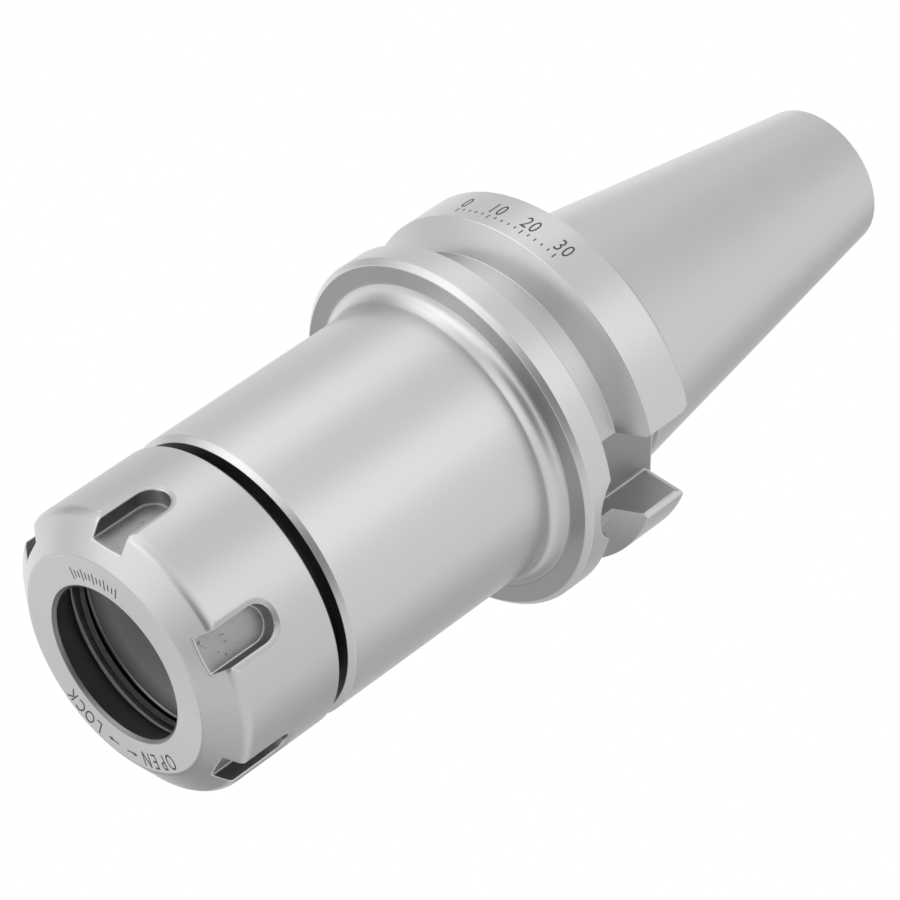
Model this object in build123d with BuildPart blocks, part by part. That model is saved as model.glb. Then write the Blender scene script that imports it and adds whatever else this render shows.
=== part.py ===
"""Collet chuck holder: steep taper holder body and clamping nut.

Units are millimetres. The origin is the centre of the gauge plane, +Z runs along
the taper to its small end, and +X through the middle of a drive keyway. The holder
stands on the flat face of the nut.
"""
import os
from math import radians, sqrt, tan

from build123d import *

os.makedirs("parts", exist_ok=True)

# ---- taper shank
gauge_diameter = 44.45
taper_rate = 7 / 24
taper_length = 65.4
small_end_chamfer = 0.5
neck_length = 2.0
neck_diameter = 43.4

# ---- gripping flange
flange_diameter = 63.0
flange_front = 27.0
flange_rear_chamfer = 1.0
flange_front_chamfer = 0.9
groove_centre = 16.6
groove_width = 10.0
groove_bottom_diameter = 53.0
groove_half_angle = 30.0
key_width = 16.1
key_floor = 22.6
key_end_centre = 16.25
key_mouth_flare = 2.1
key_floor_chamfer = 0.5
key_edge_depth = 0.75
key_edge_angle = 60.0

# ---- nose
nose_diameter = 50.0
nose_fillet = 2.8
shoulder_z = 72.9
shoulder_chamfer = 0.9
relief_diameter = 37.4
relief_length = 4.0
thread_diameter = 40.0
thread_run_out = 1.2
nose_face_z = 89.2
nose_face_chamfer = 1.2

# ---- collet seat and bores
seat_half_angle = 8.0
seat_mouth_diameter = 32.7
seat_mouth_chamfer = 0.35
seat_end_diameter = 24.0
relief_bore_diameter = 22.0
relief_bore_end_z = 36.0
through_diameter = 10.0
pull_pilot_diameter = 17.0
pull_pilot_depth = 8.0
pull_tap_diameter = 13.9
pull_tap_depth = 34.0
pull_entry_chamfer = 0.8

# ---- clamping nut
nut_diameter = 50.0
nut_rear_z = 75.1
nut_front_z = 98.5
nut_rear_chamfer = 0.55
face_ring_diameter = 38.6
front_cone_length = 3.95
front_corner_break = 0.6
opening_diameter = 26.6
opening_chamfer = 0.55
cone_half_angle = 30.0
cone_end_diameter = 33.5
snap_groove_diameter = 35.4
snap_groove_width = 0.9
ring_diameter = 32.3
ring_width = 0.95
ring_offset = 0.35
recess_diameter = 40.9
recess_length = 4.2
thread_clearance = 0.08
thread_entry_chamfer = 0.9
slot_count = 6
slot_width = 6.2
slot_floor = 21.8
slot_apex_z = 84.3
slot_azimuth = 25.0

# ---- derived values
gauge_r = gauge_diameter / 2
small_end_r = gauge_r - taper_length * taper_rate / 2
neck_r = neck_diameter / 2
flange_r = flange_diameter / 2
groove_r = groove_bottom_diameter / 2
groove_depth = flange_r - groove_r
groove_rear = groove_centre - groove_width / 2
groove_front = groove_centre + groove_width / 2
groove_slope = groove_depth * tan(radians(groove_half_angle))
key_edge_x = sqrt(flange_r**2 - (key_width / 2) ** 2) - key_edge_depth
nose_r = nose_diameter / 2
thread_r = thread_diameter / 2
relief_r = relief_diameter / 2
relief_end_z = shoulder_z + relief_length
seat_r = seat_mouth_diameter / 2
seat_end_r = seat_end_diameter / 2
seat_start_z = nose_face_z - seat_mouth_chamfer
seat_end_z = seat_start_z - (seat_r - seat_end_r) / tan(radians(seat_half_angle))
relief_bore_r = relief_bore_diameter / 2
through_r = through_diameter / 2
drill_slope = tan(radians(31))
relief_cone_z = relief_bore_end_z - (relief_bore_r - through_r) * drill_slope
tap_r = pull_tap_diameter / 2
pilot_r = pull_pilot_diameter / 2
tap_end_z = taper_length - pull_tap_depth
tap_cone_z = tap_end_z - (tap_r - through_r) * drill_slope
pilot_end_z = taper_length - pull_pilot_depth

# ---- holder body, turned outline
outer = [
    (pilot_r + pull_entry_chamfer, taper_length),
    (small_end_r - small_end_chamfer, taper_length),
    (small_end_r + small_end_chamfer * taper_rate / 2, taper_length - small_end_chamfer),
    (gauge_r, 0.0),
    (neck_r, 0.0 - (gauge_r - neck_r)),
    (neck_r, -neck_length),
    (flange_r - flange_rear_chamfer, -neck_length),
    (flange_r, -neck_length - flange_rear_chamfer),
    (flange_r, -groove_rear),
    (groove_r, -groove_rear - groove_slope),
    (groove_r, -groove_front + groove_slope),
    (flange_r, -groove_front),
    (flange_r, -flange_front + flange_front_chamfer),
    (flange_r - flange_front_chamfer, -flange_front),
    (nose_r + nose_fillet, -flange_front),
]
fillet_centre = (nose_r + nose_fillet, -flange_front - nose_fillet)
fillet_mid = (
    fillet_centre[0] - nose_fillet * sqrt(0.5),
    fillet_centre[1] + nose_fillet * sqrt(0.5),
)
nose_start = (nose_r, -flange_front - nose_fillet)
front = [
    nose_start,
    (nose_r, -shoulder_z + shoulder_chamfer),
    (nose_r - shoulder_chamfer, -shoulder_z),
    (relief_r, -shoulder_z),
    (relief_r, -relief_end_z),
    (thread_r, -relief_end_z - thread_run_out),
    (thread_r, -nose_face_z + nose_face_chamfer),
    (thread_r - nose_face_chamfer, -nose_face_z),
    (seat_r + seat_mouth_chamfer, -nose_face_z),
    (seat_r, -seat_start_z),
    (seat_end_r, -seat_end_z),
    (relief_bore_r, -seat_end_z),
    (relief_bore_r, -relief_bore_end_z),
    (through_r, -relief_cone_z),
    (through_r, tap_cone_z),
    (tap_r, tap_end_z),
    (tap_r, pilot_end_z - (pilot_r - tap_r)),
    (pilot_r, pilot_end_z),
    (pilot_r, taper_length - pull_entry_chamfer),
    outer[0],
]

with BuildPart() as holder_body:
    with BuildSketch(Plane.XZ):
        with BuildLine():
            Polyline(*outer)
            ThreePointArc(outer[-1], fillet_mid, nose_start)
            Polyline(*front)
        make_face()
    revolve(axis=Axis.Z)
    # the two drive keyways, on either side of the axis, round where the cutter stopped
    key_top = 5.0
    mouth_start = -neck_length - key_mouth_flare
    mouth_half = key_width / 2 + key_top - mouth_start
    for side in (1, -1):
        key_plane = Plane(origin=(0, 0, 0), x_dir=(0, 0, 1), z_dir=(side, 0, 0))
        with BuildSketch(key_plane.offset(key_floor)):
            with Locations((-key_end_centre, 0)):
                Circle(key_width / 2)
            with Locations(((mouth_start - key_end_centre) / 2, 0)):
                Rectangle(mouth_start + key_end_centre, key_width)
            with BuildLine():
                Polyline(
                    (mouth_start, -key_width / 2),
                    (key_top, -mouth_half),
                    (key_top, mouth_half),
                    (mouth_start, key_width / 2),
                    close=True,
                )
            make_face()
        extrude(amount=flange_r, mode=Mode.SUBTRACT)
        # the walls' edges are broken along the land behind the groove
        with BuildSketch(key_plane.offset(key_edge_x)):
            with BuildLine():
                Polyline(
                    (-groove_centre, -key_width / 2),
                    (mouth_start, -key_width / 2),
                    (key_top, -mouth_half),
                    (key_top, mouth_half),
                    (mouth_start, key_width / 2),
                    (-groove_centre, key_width / 2),
                    close=True,
                )
            make_face()
        extrude(amount=1.5, taper=-key_edge_angle, mode=Mode.SUBTRACT)
    # so are the floors where they meet the rear face
    floor_ends = holder_body.edges().filter_by(Axis.Y).group_by(Axis.Z)[-1]
    chamfer(floor_ends, key_floor_chamfer)

holder_body.part.label = "holder_body"

# ---- clamping nut, turned outline
front_ring_r = face_ring_diameter / 2
nut_r = nut_diameter / 2
opening_r = opening_diameter / 2
cone_start_z = nut_front_z - opening_chamfer
cone_end_r = cone_end_diameter / 2
cone_end_z = cone_start_z - (cone_end_r - opening_r) / tan(radians(cone_half_angle))
snap_r = snap_groove_diameter / 2
ring_front_z = cone_end_z - snap_groove_width
ring_rear_z = ring_front_z - ring_width
recess_r = recess_diameter / 2
recess_front_z = ring_rear_z
recess_rear_z = recess_front_z - recess_length
nut_thread_r = thread_r + thread_clearance
ring_bore_r = ring_diameter / 2 + ring_offset
front_cone_slope = front_cone_length / (nut_r - front_ring_r)
corner_run = front_corner_break / sqrt(1 + front_cone_slope**2)

nut_outline = [
    (nut_thread_r + thread_entry_chamfer, -nut_rear_z),
    (nut_r - nut_rear_chamfer, -nut_rear_z),
    (nut_r, -nut_rear_z - nut_rear_chamfer),
    (nut_r, -nut_front_z + front_cone_length + front_corner_break),
    (nut_r - corner_run, -nut_front_z + front_cone_length - corner_run * front_cone_slope),
    (front_ring_r, -nut_front_z),
    (opening_r + opening_chamfer, -nut_front_z),
    (opening_r, -cone_start_z),
    (cone_end_r, -cone_end_z),
    (snap_r, -cone_end_z),
    (snap_r, -ring_front_z),
    (ring_bore_r - 2 * ring_offset, -ring_front_z),
    (ring_bore_r - 2 * ring_offset, -ring_rear_z),
    (recess_r, -recess_front_z),
    (recess_r, -recess_rear_z),
    (nut_thread_r, -recess_rear_z + (recess_r - nut_thread_r)),
    (nut_thread_r, -nut_rear_z - thread_entry_chamfer),
    (nut_thread_r + thread_entry_chamfer, -nut_rear_z),
]

with BuildPart() as clamping_nut:
    with BuildSketch(Plane.XZ):
        with BuildLine():
            Polyline(*nut_outline)
        make_face()
    revolve(axis=Axis.Z)
    # the extraction ring is bored off centre
    with BuildSketch(Plane.XY.offset(-ring_front_z - 0.001)):
        with Locations((ring_offset, 0)):
            Circle(ring_diameter / 2)
    extrude(amount=ring_width + 0.002, mode=Mode.SUBTRACT)
    # six wrench slots, open to the front and round at the rear
    slot_reach = 3.0
    slot_centre_z = slot_apex_z + slot_width / 2
    for k in range(slot_count):
        slot_dir = Vector(1, 0, 0).rotate(Axis.Z, slot_azimuth + 360 / slot_count * k)
        slot_plane = Plane(
            origin=(0, 0, 0), x_dir=(0, 0, 1), z_dir=(slot_dir.X, slot_dir.Y, 0)
        ).offset(slot_floor)
        slot_run = nut_front_z + slot_reach - slot_centre_z
        with BuildSketch(slot_plane):
            with Locations((-slot_centre_z, 0)):
                Circle(slot_width / 2)
            with Locations((-slot_centre_z - slot_run / 2, 0)):
                Rectangle(slot_run, slot_width)
        extrude(amount=nut_r, mode=Mode.SUBTRACT)

clamping_nut.part.label = "clamping_nut"

export_step(holder_body.part, "parts/holder_body.step")
export_step(clamping_nut.part, "parts/clamping_nut.step")
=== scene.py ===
"""Looks of a collet chuck holder: turned steel, milled slots, threads, marks and stage.

Lengths are metres. The frame's origin is the centre of the gauge plane, +Z runs along the taper to its
small end and +X through a drive keyway. The holder stands on the flat face of its nut.
"""
import math

import bmesh
import bpy
from mathutils import Matrix, Quaternion, Vector


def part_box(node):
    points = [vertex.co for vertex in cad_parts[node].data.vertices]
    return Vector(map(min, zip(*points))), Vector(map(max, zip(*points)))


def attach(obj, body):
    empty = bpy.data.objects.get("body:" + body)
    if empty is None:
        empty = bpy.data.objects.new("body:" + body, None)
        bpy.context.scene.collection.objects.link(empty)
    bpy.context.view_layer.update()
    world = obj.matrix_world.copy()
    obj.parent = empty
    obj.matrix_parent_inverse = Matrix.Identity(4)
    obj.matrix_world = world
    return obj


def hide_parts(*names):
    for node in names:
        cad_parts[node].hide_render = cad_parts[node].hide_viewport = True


bl_info = {
    "name": "Collet chuck holder",
    "version": (1, 0, 0),
    "blender": (4, 5, 0),
    "location": "3D View > Sidebar > Holder",
    "description": "Turns, mills, threads and marks a collet chuck holder round its packed frame",
    "category": "Object",
}

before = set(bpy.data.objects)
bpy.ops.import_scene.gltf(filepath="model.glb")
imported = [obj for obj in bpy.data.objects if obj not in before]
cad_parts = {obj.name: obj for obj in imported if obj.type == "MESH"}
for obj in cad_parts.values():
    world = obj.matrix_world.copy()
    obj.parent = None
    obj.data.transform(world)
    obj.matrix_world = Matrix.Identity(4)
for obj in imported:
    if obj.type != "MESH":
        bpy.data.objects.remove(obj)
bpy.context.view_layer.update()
body_low, body_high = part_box("holder_body")
nut_low, nut_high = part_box("clamping_nut")

MM = 0.001
FULL_TURN = 2 * math.pi
QUARTER_TURN = Matrix.Rotation(math.pi / 2, 4, "Z")
TAPER_RATE = 7 / 24
DRILL_SLOPE = math.tan(math.radians(31))
# How near two points are one, how near a place a point is picked, and how near a plane a face is painted
MERGED, NEAR, AT_PLANE = 0.001 * MM, 0.01 * MM, 0.05 * MM
# Least part of a normal along a direction that counts as looking that way
SQUARE, FLAT = 0.9, 0.99
# Steps in a wide and in a narrow round, and the reach from which a round is wide
WIDE_STEPS, NARROW_STEPS, WIDE_REACH = 9, 3, 0.3 * MM
CUTTER_STEPS, EDGE_STEPS, THREAD_STEPS = 64, 2, 72
# Half a thread's width at its foot and at its crest, as shares of the pitch
HALF_FOOT, HALF_CREST = 0.46, 0.07
# Share of a font's size that a capital takes, and how much thinner its strokes are made
CAP_SHARE, THINNER = 0.682, 0.004
# Ticks on each side of the middle of the nut's row, their step in degrees, and which of them are long
FACE_TICKS, FACE_TICK_STEP, LONG_EVERY = 6, 3, 3
TICKS_A_NUMBER = 5
# Length of a short tick to a long one, and the pitch and width of figures to the letters' size
SHORT_TICK, FIGURE_PITCH, NUMBER_WIDTH = 0.6, 0.62, 1.1


def length(name, description, default):
    """A length that shows in the sidebar. Its default is in millimetres."""
    return bpy.props.FloatProperty(
        name=name, description=description, default=default * MM, precision=5, unit="LENGTH",
        subtype="DISTANCE",
    )


def angle(name, description, degrees):
    """An angle that shows in degrees in the sidebar."""
    return bpy.props.FloatProperty(
        name=name, description=description, default=math.radians(degrees), unit="ROTATION", subtype="ANGLE"
    )


def colour(name, description, default):
    """A colour that shows as a swatch in the sidebar."""
    return bpy.props.FloatVectorProperty(
        name=name, description=description, default=default, size=3, min=0, max=1, subtype="COLOR"
    )


def grey(name, description, level):
    """A grey that shows as a swatch in the sidebar."""
    return colour(name, description, (level, level, level))


def share(name, description, default):
    """A plain number from 0 to 1."""
    return bpy.props.FloatProperty(name=name, description=description, default=default, min=0, max=1)


def count(name, description, default):
    """A whole number."""
    return bpy.props.IntProperty(name=name, description=description, default=default, min=1)


class HolderSizes(bpy.types.PropertyGroup):
    """Sizes of the turned holder body."""

    taper_length: length("Taper length", "Gauge plane to small end", body_high.z / MM)
    gauge_radius: length("Gauge radius", "Radius of the taper at the gauge plane", 22.225)
    small_end_chamfer: length("Small end chamfer", "Chamfer round the taper's small end", 0.5)
    neck_radius: length("Neck radius", "Radius of the neck behind the flange", 21.7)
    neck_length: length("Neck length", "Gauge plane to the flange's rear face", 2.0)
    flange_radius: length("Flange radius", "Radius of the gripping flange", 31.5)
    flange_front: length("Flange front", "Gauge plane to the flange's front face", 27.0)
    flange_rear_chamfer: length("Rear chamfer", "Chamfer of the flange's rear edge", 1.0)
    flange_front_chamfer: length("Front chamfer", "Chamfer of the flange's front edge", 0.9)
    groove_centre: length("Groove centre", "Gauge plane to the middle of the V groove", 16.6)
    groove_width: length("Groove width", "Width of the V groove at the rim", 10.0)
    groove_radius: length("Groove radius", "Radius at the bottom of the V groove", 26.5)
    groove_slant: angle("Groove slant", "Angle of each flank to the flange's face", 30)
    key_width: length("Keyway width", "Width of the two drive keyways", 16.1)
    key_floor: length("Keyway floor", "Distance of the keyway's floor from the axis", 22.6)
    key_end: length("Keyway end", "Gauge plane to the centre of the keyway's round end", 16.25)
    key_flare: length("Keyway flare", "Chamfer of the keyway's walls at the rear face", 2.1)
    key_floor_chamfer: length("Keyway floor chamfer", "Chamfer of its floor at the rear face", 0.5)
    key_edge_depth: length("Keyway edge", "Depth of the broken edge along the rear land", 0.75)
    key_edge_angle: angle("Keyway edge angle", "Slant of that broken edge", 60)
    nose_radius: length("Nose radius", "Radius of the plain nose", 25.0)
    nose_fillet: length("Nose fillet", "Fillet between the flange and the nose", 2.8)
    shoulder: length("Shoulder", "Gauge plane to the shoulder behind the nut", 72.9)
    shoulder_chamfer: length("Shoulder chamfer", "Chamfer of the shoulder's edge", 0.9)
    relief_radius: length("Relief radius", "Radius of the thread relief", 18.7)
    relief_end: length("Relief end", "Gauge plane to the end of the thread relief", 76.9)
    thread_radius: length("Thread radius", "Outside radius of the nose thread", 20.0)
    thread_root: length("Thread root", "Root radius of the nose thread", 19.1)
    thread_pitch: length("Thread pitch", "Pitch of the nose thread", 1.5)
    nose_chamfer: length("Nose chamfer", "Chamfer at the start of the nose thread", 1.2)
    seat_radius: length("Seat radius", "Radius of the collet seat's mouth", 16.35)
    seat_mouth_chamfer: length("Seat mouth", "Chamfer of the collet seat's mouth", 0.35)
    seat_end_radius: length("Seat end radius", "Radius at the seat's small end", 12.0)
    seat_half_angle: angle("Seat angle", "Half angle of the collet seat", 8)
    relief_bore_radius: length("Relief bore", "Radius of the bore behind the seat", 11.0)
    relief_bore_end: length("Relief bore end", "Gauge plane to the end of that bore", 36.0)
    through_radius: length("Through hole", "Radius of the hole through the middle", 5.0)
    tap_depth: length("Tapped depth", "Small end to the bottom of the tapped hole", 34.0)
    tap_minor: length("Tap minor radius", "Radius inside the pull stud thread", 6.95)
    tap_root: length("Tap root radius", "Radius at the root of the pull stud thread", 8.0)
    tap_pitch: length("Tap pitch", "Pitch of the pull stud thread", 2.0)
    pilot_radius: length("Pilot radius", "Radius of the pull stud's pilot bore", 8.5)
    pilot_depth: length("Pilot depth", "Depth of the pull stud's pilot bore", 8.0)
    entry_chamfer: length("Entry chamfer", "Chamfer at the mouth of the pilot bore", 0.8)


class NutSizes(bpy.types.PropertyGroup):
    """Sizes of the clamping nut."""

    radius: length("Radius", "Outside radius of the nut", 25.0)
    rear_chamfer: length("Rear chamfer", "Chamfer of the nut's rear edge", 0.55)
    face_ring_radius: length("Face ring", "Radius where the flat face meets the front cone", 19.3)
    front_cone_length: length("Front cone", "Length of the wide front cone", 3.95)
    corner_soft: length("Corner", "How far the round between cone and rim reaches", 1.15)
    ring_soft: length("Ring corner", "How far the round between cone and face reaches", 0.37)
    opening_radius: length("Opening", "Radius of the front opening", 13.3)
    opening_chamfer: length("Opening chamfer", "Chamfer round the front opening", 0.55)
    cone_end_radius: length("Inner cone", "Radius at the wide end of the inner cone", 16.75)
    cone_half_angle: angle("Inner cone angle", "Half angle of the inner cone", 30)
    cone_edge: length("Inner cone edge", "How far the round at its wide end reaches", 0.28)
    snap_radius: length("Snap groove", "Radius of the groove behind the inner cone", 17.7)
    snap_width: length("Snap groove width", "Width of that groove", 0.9)
    ring_radius: length("Ring bore", "Bore of the extraction ring", 16.15)
    ring_width: length("Ring width", "Width of the extraction ring", 0.95)
    ring_offset: length("Ring offset", "How far the ring is bored off centre", 0.35)
    recess_radius: length("Recess", "Radius of the recess behind the ring", 20.45)
    recess_length: length("Recess length", "Length of that recess", 4.2)
    bore_radius: length("Thread bore", "Radius of the nut's threaded bore", 20.08)
    entry_chamfer: length("Thread entry", "Chamfer at the nut's threaded end", 0.9)
    slot_count: count("Slots", "Number of wrench slots", 6)
    slot_width: length("Slot width", "Width of a wrench slot", 6.2)
    slot_floor: length("Slot floor", "Distance of a slot's floor from the axis", 21.8)
    slot_apex: length("Slot end", "Gauge plane to the round end of a slot", 84.3)
    slot_turn: angle("Slot turn", "Azimuth of the first slot", 25)
    slot_edge: length("Slot edge", "Axis to the foot of the broken edge on the rim", 24.5)
    slot_edge_side: length("Slot edge side", "Width of that break along a slot's sides", 0.95)
    slot_edge_end: length("Slot edge end", "Width of that break round a slot's end", 0.7)


class SteelLooks(bpy.types.PropertyGroup):
    """Colours, edges and steps of the steel pieces."""

    ground: grey("Ground steel", "Colour of the ground outside", 0.74)
    nut: grey("Nut steel", "Colour of the turned nut", 0.675)
    # The nut's flat face is painted much lighter than the rest of the nut's steel: painted light.
    nut_face: grey("Nut face", "Colour of the nut's flat face", 0.96)
    # The flange's front face is painted darker than the other ground steel: painted shade.
    flange_face: grey("Flange face", "Colour of the flange's turned front face", 0.50)
    slot_floor: grey("Slot floors", "Colour of the milled slot floors", 0.43)
    # The slot walls are painted dark as painted shade; the round ends keep a paler colour.
    slot_wall: grey("Slot walls", "Colour of the milled slot walls", 0.14)
    slot_end: grey("Slot ends", "Colour of the round ends of the slots", 0.42)
    slot_edge: grey("Slot edges", "Colour of the broken edges of the slots", 0.57)
    keyway: grey("Keyways", "Colour of the milled keyways", 0.42)
    # The V groove is painted darker than the ground steel: painted shade inside the groove.
    groove: grey("Groove steel", "Colour of the turned V groove", 0.65)
    # The bore's dark grey is painted shade: it stands in for the shade inside the nut, round the thread
    # relief and on the nose thread.
    bore: grey("Bore steel", "Colour of the dark bore of the nut", 0.27)
    seat: grey("Seat steel", "Colour of the collet seat and the bore behind it", 0.67)
    ring: grey("Ring bore", "Colour of the extraction ring's bore", 0.4)
    recess: grey("Ring front", "Colour of the extraction ring's front", 0.14)
    # The worn edge is a painted highlight: a pale, nearly matt colour that stands in for light on a thin line
    # at the inner cone's wide end and on the snap groove's wall.
    polished: grey("Worn edge", "Colour of the worn edge inside the nut", 0.95)
    etched: colour("Etched marks", "Colour of the etched marks", (0.035, 0.035, 0.037))
    ground_gloss: share("Ground roughness", "Roughness of the ground outside", 0.30)
    milled_gloss: share("Milled roughness", "Roughness of the milled faces", 0.42)
    grain: share("Grain", "How far the turned grain stretches the highlights", 0.5)
    edge_break: length("Edge break", "How far turned edges are broken", 0.12)
    slot_break: length("Slot edge break", "How far milled edges are broken", 0.22)
    holder_steps: count("Holder steps", "Steps round the holder", 248)
    nut_steps: count("Nut steps", "Steps round the nut", 180)


class MarkSizes(bpy.types.PropertyGroup):
    """Sizes and places of the etched marks."""

    letter_height: length("Letter height", "Height of the letters on the nut's face", 2.7)
    letter_width: share("Letter width", "How far letters and numbers are narrowed", 0.66)
    letter_radius: length("Letter radius", "Radius of the letters' middle line", 17.2)
    letter_pitch: angle("Letter pitch", "Angle from one letter to the next", 7.2)
    lock_turn: angle("Lock turn", "Azimuth of the middle of the word LOCK", 116.8)
    open_turn: angle("Open turn", "Azimuth of the middle of the word OPEN", 58.8)
    arrow_length: length("Arrow length", "Length of the two arrows", 2.3)
    arrow_head: length("Arrow head", "Width of the arrows' heads", 0.8)
    arrow_turn: angle("Arrow turn", "Angle from midway between the words to each arrow", 6.9)
    stroke: length("Stroke", "Width of the etched lines", 0.22)
    height: length("Height", "How far a mark stands out of the steel", 0.02)
    face_tick: length("Face tick", "Length of the ticks on the nut's face", 2.0)
    face_scale_turn: angle("Face scale turn", "Azimuth of the middle of the ticks on the nut's face", -102)
    number_height: length("Number height", "Height of the numbers on the flange", 2.7)
    number_z: length("Number line", "Gauge plane to the foot of the numbers", -8.3)
    number_pitch: angle("Number pitch", "Angle from one number to the next", 13.0)
    scale_turn: angle("Scale turn", "Azimuth of the middle of the plain scale on the flange", -96.5)
    scale_tick: length("Scale tick", "Length of the long ticks of that scale", 1.0)


class StageSizes(bpy.types.PropertyGroup):
    """Camera, lamps and floor."""

    lens: bpy.props.FloatProperty(name="Lens", description="Focal length for a 36 mm sensor", default=168.855)
    distance: length("Camera distance", "Camera to the aim point", 672.59)
    azimuth: angle("Camera azimuth", "Azimuth of the camera", -52.1346)
    elevation: angle("Camera elevation", "Height of the camera over the gauge plane", -32.3263)
    roll: angle("Camera roll", "Turn of the camera about its own axis", 55.1041)
    aim: bpy.props.FloatVectorProperty(
        name="Aim", description="Point in the middle of the picture", size=3,
        default=(1.8726 * MM, 1.4560 * MM, -27.5587 * MM), precision=6, unit="LENGTH", subtype="TRANSLATION",
    )
    floor_size: length("Floor size", "Side of the square floor", 6000)
    floor_colour: grey("Floor", "Colour of the pale floor", 0.86)


def clear_selection():
    """Leaves edit mode and deselects everything."""
    if bpy.context.object is not None and bpy.context.object.mode != "OBJECT":
        bpy.ops.object.mode_set(mode="OBJECT")
    bpy.ops.object.select_all(action="DESELECT")


def hold(piece):
    """Makes a piece the only selected one."""
    clear_selection()
    piece.select_set(True)
    bpy.context.view_layer.objects.active = piece


def pick(kind, test):
    """Selects those vertices, edges or faces of the piece in edit mode that pass a test."""
    modes = {"verts": "VERT", "edges": "EDGE", "faces": "FACE"}
    bpy.ops.mesh.select_mode(type=modes[kind])
    bpy.ops.mesh.select_all(action="DESELECT")
    mesh = bmesh.from_edit_mesh(bpy.context.object.data)
    for part in getattr(mesh, kind):
        if test(part):
            part.select_set(True)
    mesh.select_flush_mode()
    bmesh.update_edit_mesh(bpy.context.object.data)


def modify(piece, kind, **settings):
    """Adds a modifier to the piece that is held, sets it and applies it."""
    bpy.ops.object.modifier_add(type=kind)
    made = piece.modifiers[-1]
    for name, value in settings.items():
        setattr(made, name, value)
    bpy.ops.object.modifier_apply(modifier=made.name)


def turn_section(name, outline, steps):
    """Draws half a section, breaks its corners and spins it into a closed turned piece.

    A corner is its radius, its height and how far its break reaches along both sides.
    """
    clear_selection()
    start_r, start_z, _ = outline[0]
    bpy.ops.mesh.primitive_plane_add(size=MM, location=(start_r, 0, start_z))
    piece = bpy.context.object
    piece.name = piece.data.name = name
    bpy.ops.object.transform_apply(location=True, rotation=False, scale=False)
    bpy.ops.object.mode_set(mode="EDIT")
    bpy.ops.mesh.select_mode(type="VERT")
    bpy.ops.mesh.select_all(action="SELECT")
    bpy.ops.mesh.merge(type="CENTER")
    for (r, z, _), (next_r, next_z, _) in zip(outline, outline[1:]):
        bpy.ops.mesh.extrude_region_move(TRANSFORM_OT_translate={"value": (next_r - r, 0, next_z - z)})
    pick("verts", lambda v: len(v.link_edges) == 1)
    bpy.ops.mesh.edge_face_add()
    for reach in sorted({corner[2] for corner in outline if corner[2] > 0}):
        places = [Vector((r, 0, z)) for r, z, soft in outline if soft == reach]
        pick("verts", lambda v: any((v.co - place).length < MERGED for place in places))
        segments = NARROW_STEPS if reach < WIDE_REACH else WIDE_STEPS
        bpy.ops.mesh.bevel(offset=reach, segments=segments, affect="VERTICES")
    bpy.ops.mesh.select_all(action="SELECT")
    bpy.ops.mesh.spin(steps=steps, angle=FULL_TURN, center=(0, 0, 0), axis=(0, 0, 1))
    bpy.ops.mesh.select_all(action="SELECT")
    bpy.ops.mesh.remove_doubles(threshold=MERGED)
    bpy.ops.mesh.normals_make_consistent(inside=False)
    bpy.ops.object.mode_set(mode="OBJECT")
    return piece


def slot_cutter(name, width, floor, round_end, open_end, reach):
    """A bar with one round end that mills a slot down to its floor, along +X from the axis."""
    clear_selection()
    bpy.ops.mesh.primitive_cylinder_add(
        vertices=CUTTER_STEPS, radius=width / 2, depth=reach - floor,
        location=((floor + reach) / 2, 0, round_end), rotation=(0, math.pi / 2, 0),
    )
    cutter = bpy.context.object
    cutter.name = name
    bpy.ops.object.transform_apply(location=True, rotation=True, scale=False)
    bpy.ops.object.mode_set(mode="EDIT")
    side = 1 if open_end > round_end else -1
    pick("verts", lambda v: (v.co.z - round_end) * side > NEAR)
    bpy.ops.transform.resize(value=(1, 1, 0), center_override=(0, 0, round_end))
    bpy.ops.transform.translate(value=(0, 0, open_end - round_end))
    bpy.ops.object.mode_set(mode="OBJECT")
    return cutter


def edge_cutter(name, width, inner, outer, spread, low_end, high_end):
    """A bar along the land behind the groove that is wider at its outer side, to break the keyway's edges."""
    clear_selection()
    bpy.ops.mesh.primitive_cube_add(size=1, location=((inner + outer) / 2, 0, (low_end + high_end) / 2))
    cutter = bpy.context.object
    cutter.name = name
    cutter.scale = (outer - inner, width, high_end - low_end)
    bpy.ops.object.transform_apply(location=True, rotation=False, scale=True)
    bpy.ops.object.mode_set(mode="EDIT")
    for side in (1, -1):
        pick("verts", lambda v: v.co.x > outer - NEAR and v.co.y * side > 0)
        bpy.ops.transform.translate(value=(0, side * spread, 0))
    bpy.ops.object.mode_set(mode="OBJECT")
    return cutter


def widen_mouth(cutter, floor, start, levels):
    """Carries a cutter's end at a height on upwards, with walls that lean out at 45 degrees.

    A level is its height and how far the cutter's floor there lies under the floor of the bar.
    """
    hold(cutter)
    bpy.ops.object.mode_set(mode="EDIT")
    pick("faces", lambda f: f.normal.z > SQUARE and f.calc_center_median().z > start - NEAR)
    sunk = 0
    for height, sink in levels:
        mesh = bmesh.from_edit_mesh(cutter.data)
        half = max(v.co.y for v in mesh.verts if v.select)
        bpy.ops.mesh.extrude_region_move(TRANSFORM_OT_translate={"value": (0, 0, height - start)})
        bpy.ops.transform.resize(value=(1, 1 + (height - start) / half, 1), center_override=(0, 0, height))
        edge = floor - sunk + NEAR
        pick("verts", lambda v: v.co.z > height - NEAR and v.co.x < edge)
        bpy.ops.transform.translate(value=(sunk - sink, 0, 0))
        pick("faces", lambda f: f.normal.z > SQUARE and f.calc_center_median().z > height - NEAR)
        start, sunk = height, sink
    bpy.ops.object.mode_set(mode="OBJECT")


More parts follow.
